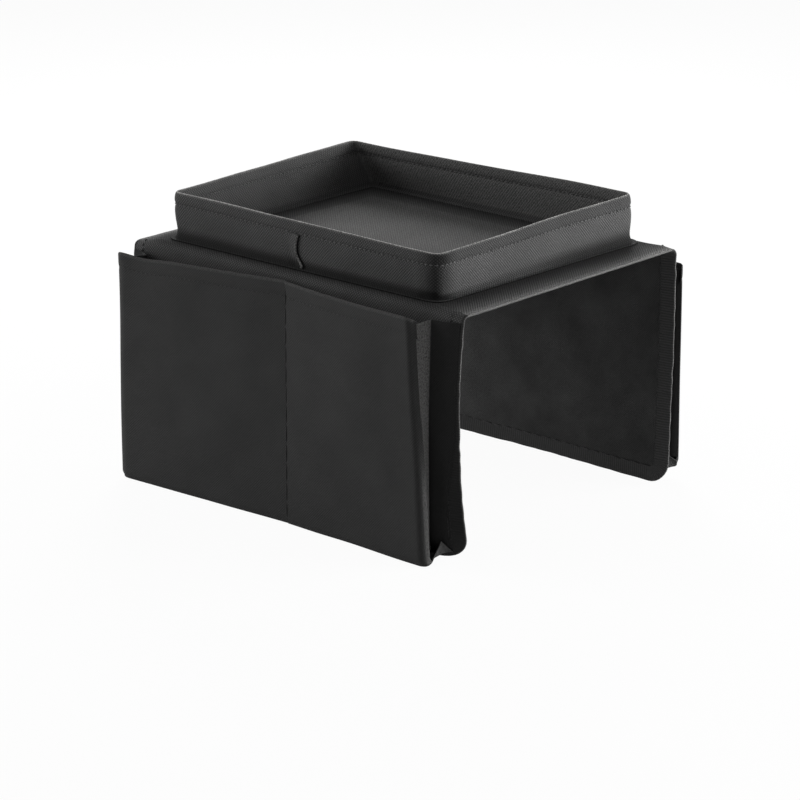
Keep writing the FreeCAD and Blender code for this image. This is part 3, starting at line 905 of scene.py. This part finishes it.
# The pockets: a face with a turned hem and a rolled free end, a pleat, a base, and a divider at the middle
# seam. Each corner is (out of the flap, along Y, up), in mm. Roll is the length that turns in at the free
# end, corner is how round the lower free corner is, and dip is how far the top edge hangs down beside the
# free end. The pleat's valley is measured out of the flap as it hangs, square is how far its first leg keeps
# straight in, and tuck is where the base's free end is pushed up to. rub_and_painted_shading gives the
# painted shade (below 0) and painted light (above 0) on the roll and the first leg's two edges, and
# foot_painted_highlight a painted highlight on the roll at its foot.
pockets = {
    ("left", "front"): {
        "seam_top": (3.9, 2.2, 161.8), "seam_foot": (18.0, -10.8, 0.8),
        "end_top": (17.0, -119.8, 162.4), "end_foot": (23.0, -138.6, 0.8),
        "valley_top": (2.2, -125.2, 160.0), "valley_foot": (2.2, -124.8, 6.0),
        "roll": 9.0, "corner": 2.0, "dip": 0.0, "square": 0.0, "tuck": (4.5, -135.6, 13.4),
        "rub_and_painted_shading": (-0.3, 0.38, 0.38), "foot_painted_highlight": 0.5,
    },
    ("left", "back"): {
        "seam_top": (3.3, 2.2, 162.4), "seam_foot": (17.4, -10.8, 0.8),
        "end_top": (21.6, 146.8, 160.6), "end_foot": (21.4, 147.0, 0.8),
        "valley_top": (9.0, 127.0, 159.0), "valley_foot": (9.0, 127.0, 8.0),
        "roll": 14.0, "corner": 5.0, "dip": 1.8, "square": 0.3, "tuck": (8.0, 137.0, 10.0),
        "rub_and_painted_shading": (0.0, 0.0, -0.5), "foot_painted_highlight": 0.0,
    },
    ("right", "front"): {
        "seam_top": (2.0, 0.0, 160.0), "seam_foot": (14.0, 0.0, 0.8),
        "end_top": (17.5, -141.8, 151.0), "end_foot": (18.0, -141.4, 7.0),
        "valley_top": (5.0, -128.0, 151.0), "valley_foot": (6.0, -128.0, 16.0),
        "roll": 6.0, "corner": 6.0, "dip": 0.0, "square": 0.7, "tuck": (8.0, -134.0, 18.0),
        "rub_and_painted_shading": (-0.5, -0.8, -0.9), "foot_painted_highlight": 0.0,
    },
    ("right", "back"): {
        "seam_top": (1.4, 0.0, 160.6), "seam_foot": (13.4, 0.0, 0.8),
        "end_top": (20.5, 142.5, 159.5), "end_foot": (21.5, 143.0, 0.8),
        "valley_top": (8.0, 127.0, 158.5), "valley_foot": (8.0, 127.0, 8.0),
        "roll": 7.0, "corner": 4.0, "dip": 1.0, "square": 0.5, "tuck": (8.0, 136.0, 10.0),
        "rub_and_painted_shading": (0.0, 0.0, -0.5), "foot_painted_highlight": 0.0,
    },
}
# The hem at the pocket's top: its depth, where it is stitched, and the turn over the edge. Then how far the
# free end rolls in.
HEM = 12 * MM
HEM_STITCH = 10 * MM
HEM_TURN = 1.2 * MM
ROLL_ANGLE = math.radians(85)
# The top edge's dip is this far from the free end and this wide, and the edge sags a little at its middle.
DIP_IN = 27 * MM
DIP_WIDTH = 16 * MM
SAG = 1.0 * MM
# How far a face bellies out and creases, how the hem's stitching dents it and the hem above that puffs up,
# and how the foot turns under.
BELLY = 0.9 * MM
CREASE = 1.8 * MM
CREASE_LENGTH = 55 * MM
DENT = 0.3 * MM
DENT_WIDTH = 1.3 * MM
PUFF = 0.25 * MM
FOOT_TURN = 1.5 * MM
FOOT_HEIGHT = 3.5 * MM
# The pleat's flat width, where its valley is in it, and how far inside the face's end it starts.
PLEAT = 40 * MM
VALLEY = 18 * MM
PLEAT_LAP = 0.5 * MM
# How the pleat creases, and how far its first and second leg belly out.
PLEAT_CREASE = 0.5 * MM
PLEAT_CREASE_LENGTH = 30 * MM
FIRST_BELLY = 1.0 * MM
SECOND_BELLY = 0.6 * MM
# The pleat's free edge: how far from the flap's end at the foot and at the top, how far off the flap, and how
# far it rises at the top.
FREE_FOOT_IN = 10 * MM
FREE_TOP_IN = 0.8 * MM
FREE_LIFT = 1.2 * MM
FREE_RISE = 2.5 * MM
# The base's back edge: how far from the flap's end it stops, how high it is sewn along the flap and at its
# free end, and how far off the flap. Then where its tuck is highest, as a share of its depth.
BASE_IN = 9 * MM
BASE_RISE = 2 * MM
BASE_END_RISE = 5 * MM
BASE_OFF = 0.6 * MM
CROWN = 0.4
# The divider's back edge: how high its foot and its head are, and how far off the flap. Then how far behind
# the face its front edge lies.
DIVIDER_FOOT = 5 * MM
DIVIDER_HEAD = 159 * MM
DIVIDER_OFF = 0.4 * MM
DIVIDER_BEHIND = 0.5 * MM
# A flap's foot, as a distance along the side's cut.
FOOT_P = BEND_LENGTH + PIVOT_Z


def mark(side, point):
    """A point given out of the flap, along Y and up in mm, in the frame."""
    return Vector((side * (FLAP_OUT + point[0] * MM), point[1] * MM, point[2] * MM))


def face_length(side, shape):
    """The face's flat length, with the part that rolls in at its free end."""
    reach = (mark(side, shape["end_top"]) - mark(side, shape["seam_top"])).length
    roll = shape["roll"] * MM
    return reach + roll - roll / ROLL_ANGLE * math.sin(ROLL_ANGLE)


def face_point(side, shape, u, h, sink=0.0):
    """The pocket's face: u along it from the seam, h from 0 at the foot to 1 at the top, sink to the flap."""
    length = face_length(side, shape)
    roll = shape["roll"] * MM
    radius = roll / ROLL_ANGLE
    angle = max(0.0, (u - (length - roll)) / radius)
    along = min(u, length - roll) + radius * math.sin(angle)
    inward = radius * (1 - math.cos(angle))
    reach = length - roll + radius * math.sin(ROLL_ANGLE)
    a = along / reach
    foot = between(mark(side, shape["seam_foot"]), mark(side, shape["end_foot"]), a)
    top = between(mark(side, shape["seam_top"]), mark(side, shape["end_top"]), a)
    # The lower free corner is round, and the top edge sags and dips beside the free end.
    corner = shape["corner"] * MM
    short = max(0.0, corner - (reach - along))
    foot.z += corner - math.sqrt(max(0.0, corner ** 2 - short ** 2))
    top.z -= shape["dip"] * MM * math.exp(-((reach - along - DIP_IN) / DIP_WIDTH) ** 2)
    top.z -= SAG * math.sin(math.pi * min(1.0, a)) + 0.6 * inward
    point = between(foot, top, h)
    # The face bellies out and creases, its hem is pulled in at the stitching, and its foot turns under.
    slack = math.sin(math.pi * min(1.0, a)) * math.sin(math.pi * min(1.0, h * 1.02))
    crease = ripple(point.y, 0.6 * h * POCKET_TOP, side, CREASE_LENGTH, 9) * min(1.0, 3 * a)
    out = BELLY * slack + CREASE * crease
    hem = (1 - h) * POCKET_TOP
    out -= DENT * math.exp(-((hem - HEM_STITCH) / DENT_WIDTH) ** 2)
    out += PUFF * ease(hem, HEM_STITCH, 0.6 * HEM_STITCH)
    foot_turn = FOOT_TURN * ease(h * POCKET_TOP, FOOT_HEIGHT, 0)
    return Vector((point.x + side * (out - inward - sink - foot_turn), point.y, point.z))


def make_pocket(name, end, shape):
    """One pocket's face, hem stitching, pleat and base."""
    side = SIDES[name]
    way = -1 if end == "front" else 1
    corner = name + "_" + end
    length = face_length(side, shape)
    roll = shape["roll"] * MM
    face_u = stations((0, 1.5 * MM), (6 * MM, 5 * MM), (length - 16 * MM, 1.2 * MM), (length, 0))
    face_v = stations((0, 0.8 * MM), (4 * MM, 6 * MM), (POCKET_TOP - 16 * MM, 1.0 * MM), (POCKET_TOP, 0))
    face_v += [POCKET_TOP + HEM_TURN / 2, POCKET_TOP + HEM_TURN]
    face_v += spread(POCKET_TOP + HEM_TURN, POCKET_TOP + HEM_TURN + HEM, 3 * MM)[1:]

    def face(u, v):
        over = v - POCKET_TOP
        if over <= 0:
            return face_point(side, shape, u, v / POCKET_TOP)
        if over <= HEM_TURN + 1e-9:
            share = over / HEM_TURN
            point = face_point(side, shape, u, 1.0, sink=HEM_TURN * share)
            return point + Vector((0, 0, 0.5 * MM * math.sin(math.pi * share)))
        down = (over - HEM_TURN) / POCKET_TOP
        return face_point(side, shape, u, 1.0 - down, sink=HEM_TURN)

    # Painted shade on the roll where it turns in, a painted highlight on the roll at its foot, and a slightly
    # lighter top edge.
    def face_shading_and_wear(u, v):
        if abs(v - POCKET_TOP) < 1.2 * MM:
            return 0.1
        turned = (u - (length - roll)) / roll
        at_foot = shape["foot_painted_highlight"] * ease(v, 95 * MM, 45 * MM) * ease(turned, 0.45, 0.75)
        return shape["rub_and_painted_shading"][0] * ease(turned, 0.0, 0.4) + at_foot

    sheet = sew("pocket_face_" + corner, face_u, face_v, face, pocket_cloth, POCKET_CLOTH,
                flip=side * way < 0, wear_and_painted_shading=face_shading_and_wear)
    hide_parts("pocket_panel_" + corner)
    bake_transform(sheet)

    line = [face_point(side, shape, u, 1 - HEM_STITCH / POCKET_TOP, sink=-PROUD)
            for u in spread(2 * MM, length - 10 * MM, SEAM_STEP)]
    row = stitch_row("stitch_hem_" + corner, line, radius=FINE_THREAD)
    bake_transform(row)

    # The pleat: from the face's rolled end in to a valley by the flap, then flat along the flap to its edge.
    def pleat(u, v):
        h = v / POCKET_TOP
        free_y = way * (DECK_END - between(FREE_FOOT_IN, FREE_TOP_IN, ease(h, 0.1, 0.6)))
        edge = face_point(side, shape, length - PLEAT_LAP, between(0.02, 0.99, h))
        gap, y, height = between(Vector(shape["valley_foot"]), Vector(shape["valley_top"]), h) * MM
        p = FOOT_P - height
        y += way * 0.5 * hang(side, y, (PIVOT_Z - height) / FLAP_DROP)
        crease = PLEAT_CREASE * ripple(u * 3, v, side, PLEAT_CREASE_LENGTH, 11)
        if u <= VALLEY:
            t = u / VALLEY
            valley = side_point(side, y, p, -gap)
            bend = between(edge, valley, 0.5)
            bend.y = between(bend.y, edge.y, shape["square"])
            point = between(between(edge, bend, t), between(bend, valley, t), t)
            return point + Vector((side * (FIRST_BELLY + crease) * math.sin(math.pi * t), 0, 0))
        t = (u - VALLEY) / (PLEAT - VALLEY)
        lift = between(gap, FREE_LIFT, ease(t, 0, 0.6)) + (SECOND_BELLY + crease) * math.sin(math.pi * t)
        return side_point(side, between(y, free_y, t), p - FREE_RISE * t * h ** 8, -lift)

    # Painted shading on the first leg, from its edge to its valley, and painted shade on the second leg past
    # the valley.
    def pleat_painted_shading(u, v):
        _, edge, valley = shape["rub_and_painted_shading"]
        leg = between(edge, valley, ease(u, 4 * MM, 7 * MM))
        return between(leg, -0.6, ease(u, VALLEY - 1 * MM, VALLEY + 1 * MM))

    pleat_u = stations((0, 1.6 * MM), (VALLEY - 2 * MM, 0.7 * MM), (VALLEY + 2 * MM, 2.5 * MM), (PLEAT, 0))
    pleat_v = stations((0, 3 * MM), (15 * MM, 6 * MM), (POCKET_TOP, 0))
    folded = sew("pocket_pleat_" + corner, pleat_u, pleat_v, pleat, pocket_cloth, POCKET_CLOTH,
                 flip=side * way < 0, wear_and_painted_shading=pleat_painted_shading)
    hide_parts("pocket_gusset_" + corner)
    # It lies along the flap up to its valley, and along the face from the roll's edge on.
    bulge = max(hang(side, mark(side, shape["valley_top"]).y, down) for down in spread(0, 1, 0.1))
    gap = max(shape["valley_top"][0], shape["valley_foot"][0]) * MM
    turned_in = roll / ROLL_ANGLE * (1 - math.cos(ROLL_ANGLE))
    outer = min(shape["end_top"][0], shape["end_foot"][0]) * MM - turned_in - 1.5 * MM
    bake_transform(folded)

    # The base: from the flap's foot to the face's foot, tucked up at its free end.
    def base(u, v):
        front = face_point(side, shape, u * length, 0.0)
        y = math.copysign(min(abs(front.y), DECK_END - BASE_IN), front.y)
        rise = between(BASE_RISE, BASE_END_RISE, ease(u, 0.8, 1))
        back = side_point(side, y, FOOT_P - rise, -BASE_OFF)
        point = between(back, front, v)
        crown = between(back, front, CROWN)
        tuck = ease(u, 0.93, 1.0) * (1 - abs(v - CROWN) / (CROWN if v < CROWN else 1 - CROWN))
        return point + (mark(side, shape["tuck"]) - crown) * tuck

    def base_wear(u, v):
        return 0.05 * ease(u, 0.94, 0.98)

    under = sew("pocket_base_" + corner, stations((0, 0.05), (0.9, 0.01), (1.0, 0)), spread(0, 1, 0.1), base,
                pocket_cloth, POCKET_CLOTH, flip=side * way > 0, wear_and_painted_shading=base_wear)
    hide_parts("pocket_floor_" + corner)
    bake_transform(under)


for (name, end), shape in pockets.items():
    make_pocket(name, end, shape)

for name, side in SIDES.items():
    shape = pockets[(name, "front")]

    def divider(u, v, side=side, shape=shape):
        front = face_point(side, shape, 0.0, v / POCKET_TOP, sink=DIVIDER_BEHIND)
        height = between(DIVIDER_FOOT, DIVIDER_HEAD, v / POCKET_TOP)
        back = side_point(side, front.y, FOOT_P - height, -DIVIDER_OFF)
        return between(back, front, u)

    web = sew("pocket_divider_" + name, spread(0, 1, 0.25), spread(0, POCKET_TOP - 2 * MM, 8 * MM), divider,
              pocket_cloth, POCKET_CLOTH, flip=side > 0)
    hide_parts("pocket_seam_" + name)
    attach(web, "flap_" + name)
    line = [face_point(side, shape, 0.3 * MM, h, sink=-2 * PROUD) for h in spread(0.01, 0.985, 0.02)]
    row = stitch_row("stitch_divider_" + name, line, length=LONGEST_STITCH, radius=HEAVY_THREAD)
    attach(row, "flap_" + name)

for piece in tray_pieces:
    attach(piece, "tray")


# The studio: a pale floor that keeps a faint shadow, soft light and the camera

def seen(tree):
    """1 for what the lens sees, straight or in a reflection or through something clear."""
    path = add(tree, "LightPath").outputs
    straight = add(tree, "Math", {0: path["Is Camera Ray"], 1: path["Is Glossy Ray"]}, operation="MAXIMUM")
    return add(tree, "Math", {0: straight, 1: path["Is Transmission Ray"]}, operation="MAXIMUM")


def studio_floor():
    """White paper that the lens sees as white, with the object's shadow left in it."""
    material, tree = new_material("white_paper")
    paper = add(tree, "BsdfPrincipled", {"Base Color": linear("#d4d4d4"), "Roughness": 0.9})
    share = add(tree, "Math", {0: seen(tree), 1: 0.95}, operation="MULTIPLY")
    white = add(tree, "Emission", {"Color": linear("#ffffff"), "Strength": 1.0})
    mixed = add(tree, "MixShader", {0: share, 1: paper, 2: white})
    add(tree, "OutputMaterial", {"Surface": mixed})
    return material


bpy.ops.object.select_all(action="DESELECT")
bpy.ops.mesh.primitive_plane_add(size=8, location=(0, 0, -0.3 * MM))
floor = bpy.context.object
floor.name = "studio_floor"
floor.data.materials.append(studio_floor())

world = bpy.data.worlds.new("studio")
world.use_nodes = True
bpy.context.scene.world = world
tree = world.node_tree
tree.nodes.clear()
# The surroundings look white, and light the object only faintly.
strength = add(tree, "MapRange", {"Value": seen(tree), "To Min": 0.18, "To Max": 1.0})
sky = add(tree, "Background", {"Color": linear("#ffffff"), "Strength": strength})
add(tree, "OutputWorld", {"Surface": sky})


def softbox(name, place, target, width, height, power):
    """A large soft lamp at a place, turned to a target."""
    lamp = bpy.data.lights.new(name, "AREA")
    lamp.shape = "RECTANGLE"
    lamp.size = width
    lamp.size_y = height
    lamp.energy = power
    holder = bpy.data.objects.new(name, lamp)
    bpy.context.scene.collection.objects.link(holder)
    holder.location = place
    holder.rotation_euler = (Vector(target) - Vector(place)).to_track_quat("-Z", "Y").to_euler()
    return holder


MIDDLE = (0, 0, 0.1)
softbox("right", (0.84, -1.00, 0.36), MIDDLE, 1.1, 0.40, 30)
softbox("front", (0.05, -1.40, 0.20), MIDDLE, 0.4, 0.3, 3)
softbox("left_back", (-0.70, 1.15, 0.50), MIDDLE, 0.6, 0.95, 13)
softbox("back_right", (0.92, 0.86, 0.78), MIDDLE, 0.6, 0.45, 17)
softbox("top", (-0.40, 0.10, 1.30), MIDDLE, 0.7, 0.7, 2.5)

# The camera stands at the left front, a little above the tray.
EYE = Vector((-1.9900, -1.7932, 0.8785))
LOOK = Vector((-0.11684, -0.10237, 0.10272))
lens = bpy.data.cameras.new("camera")
lens.sensor_width = 36
lens.lens = 184.2
camera = bpy.data.objects.new("camera", lens)
bpy.context.scene.collection.objects.link(camera)
camera.location = EYE
camera.rotation_euler = (LOOK - EYE).to_track_quat("-Z", "Y").to_euler()
bpy.context.scene.camera = camera
bpy.context.scene.view_settings.view_transform = "Standard"
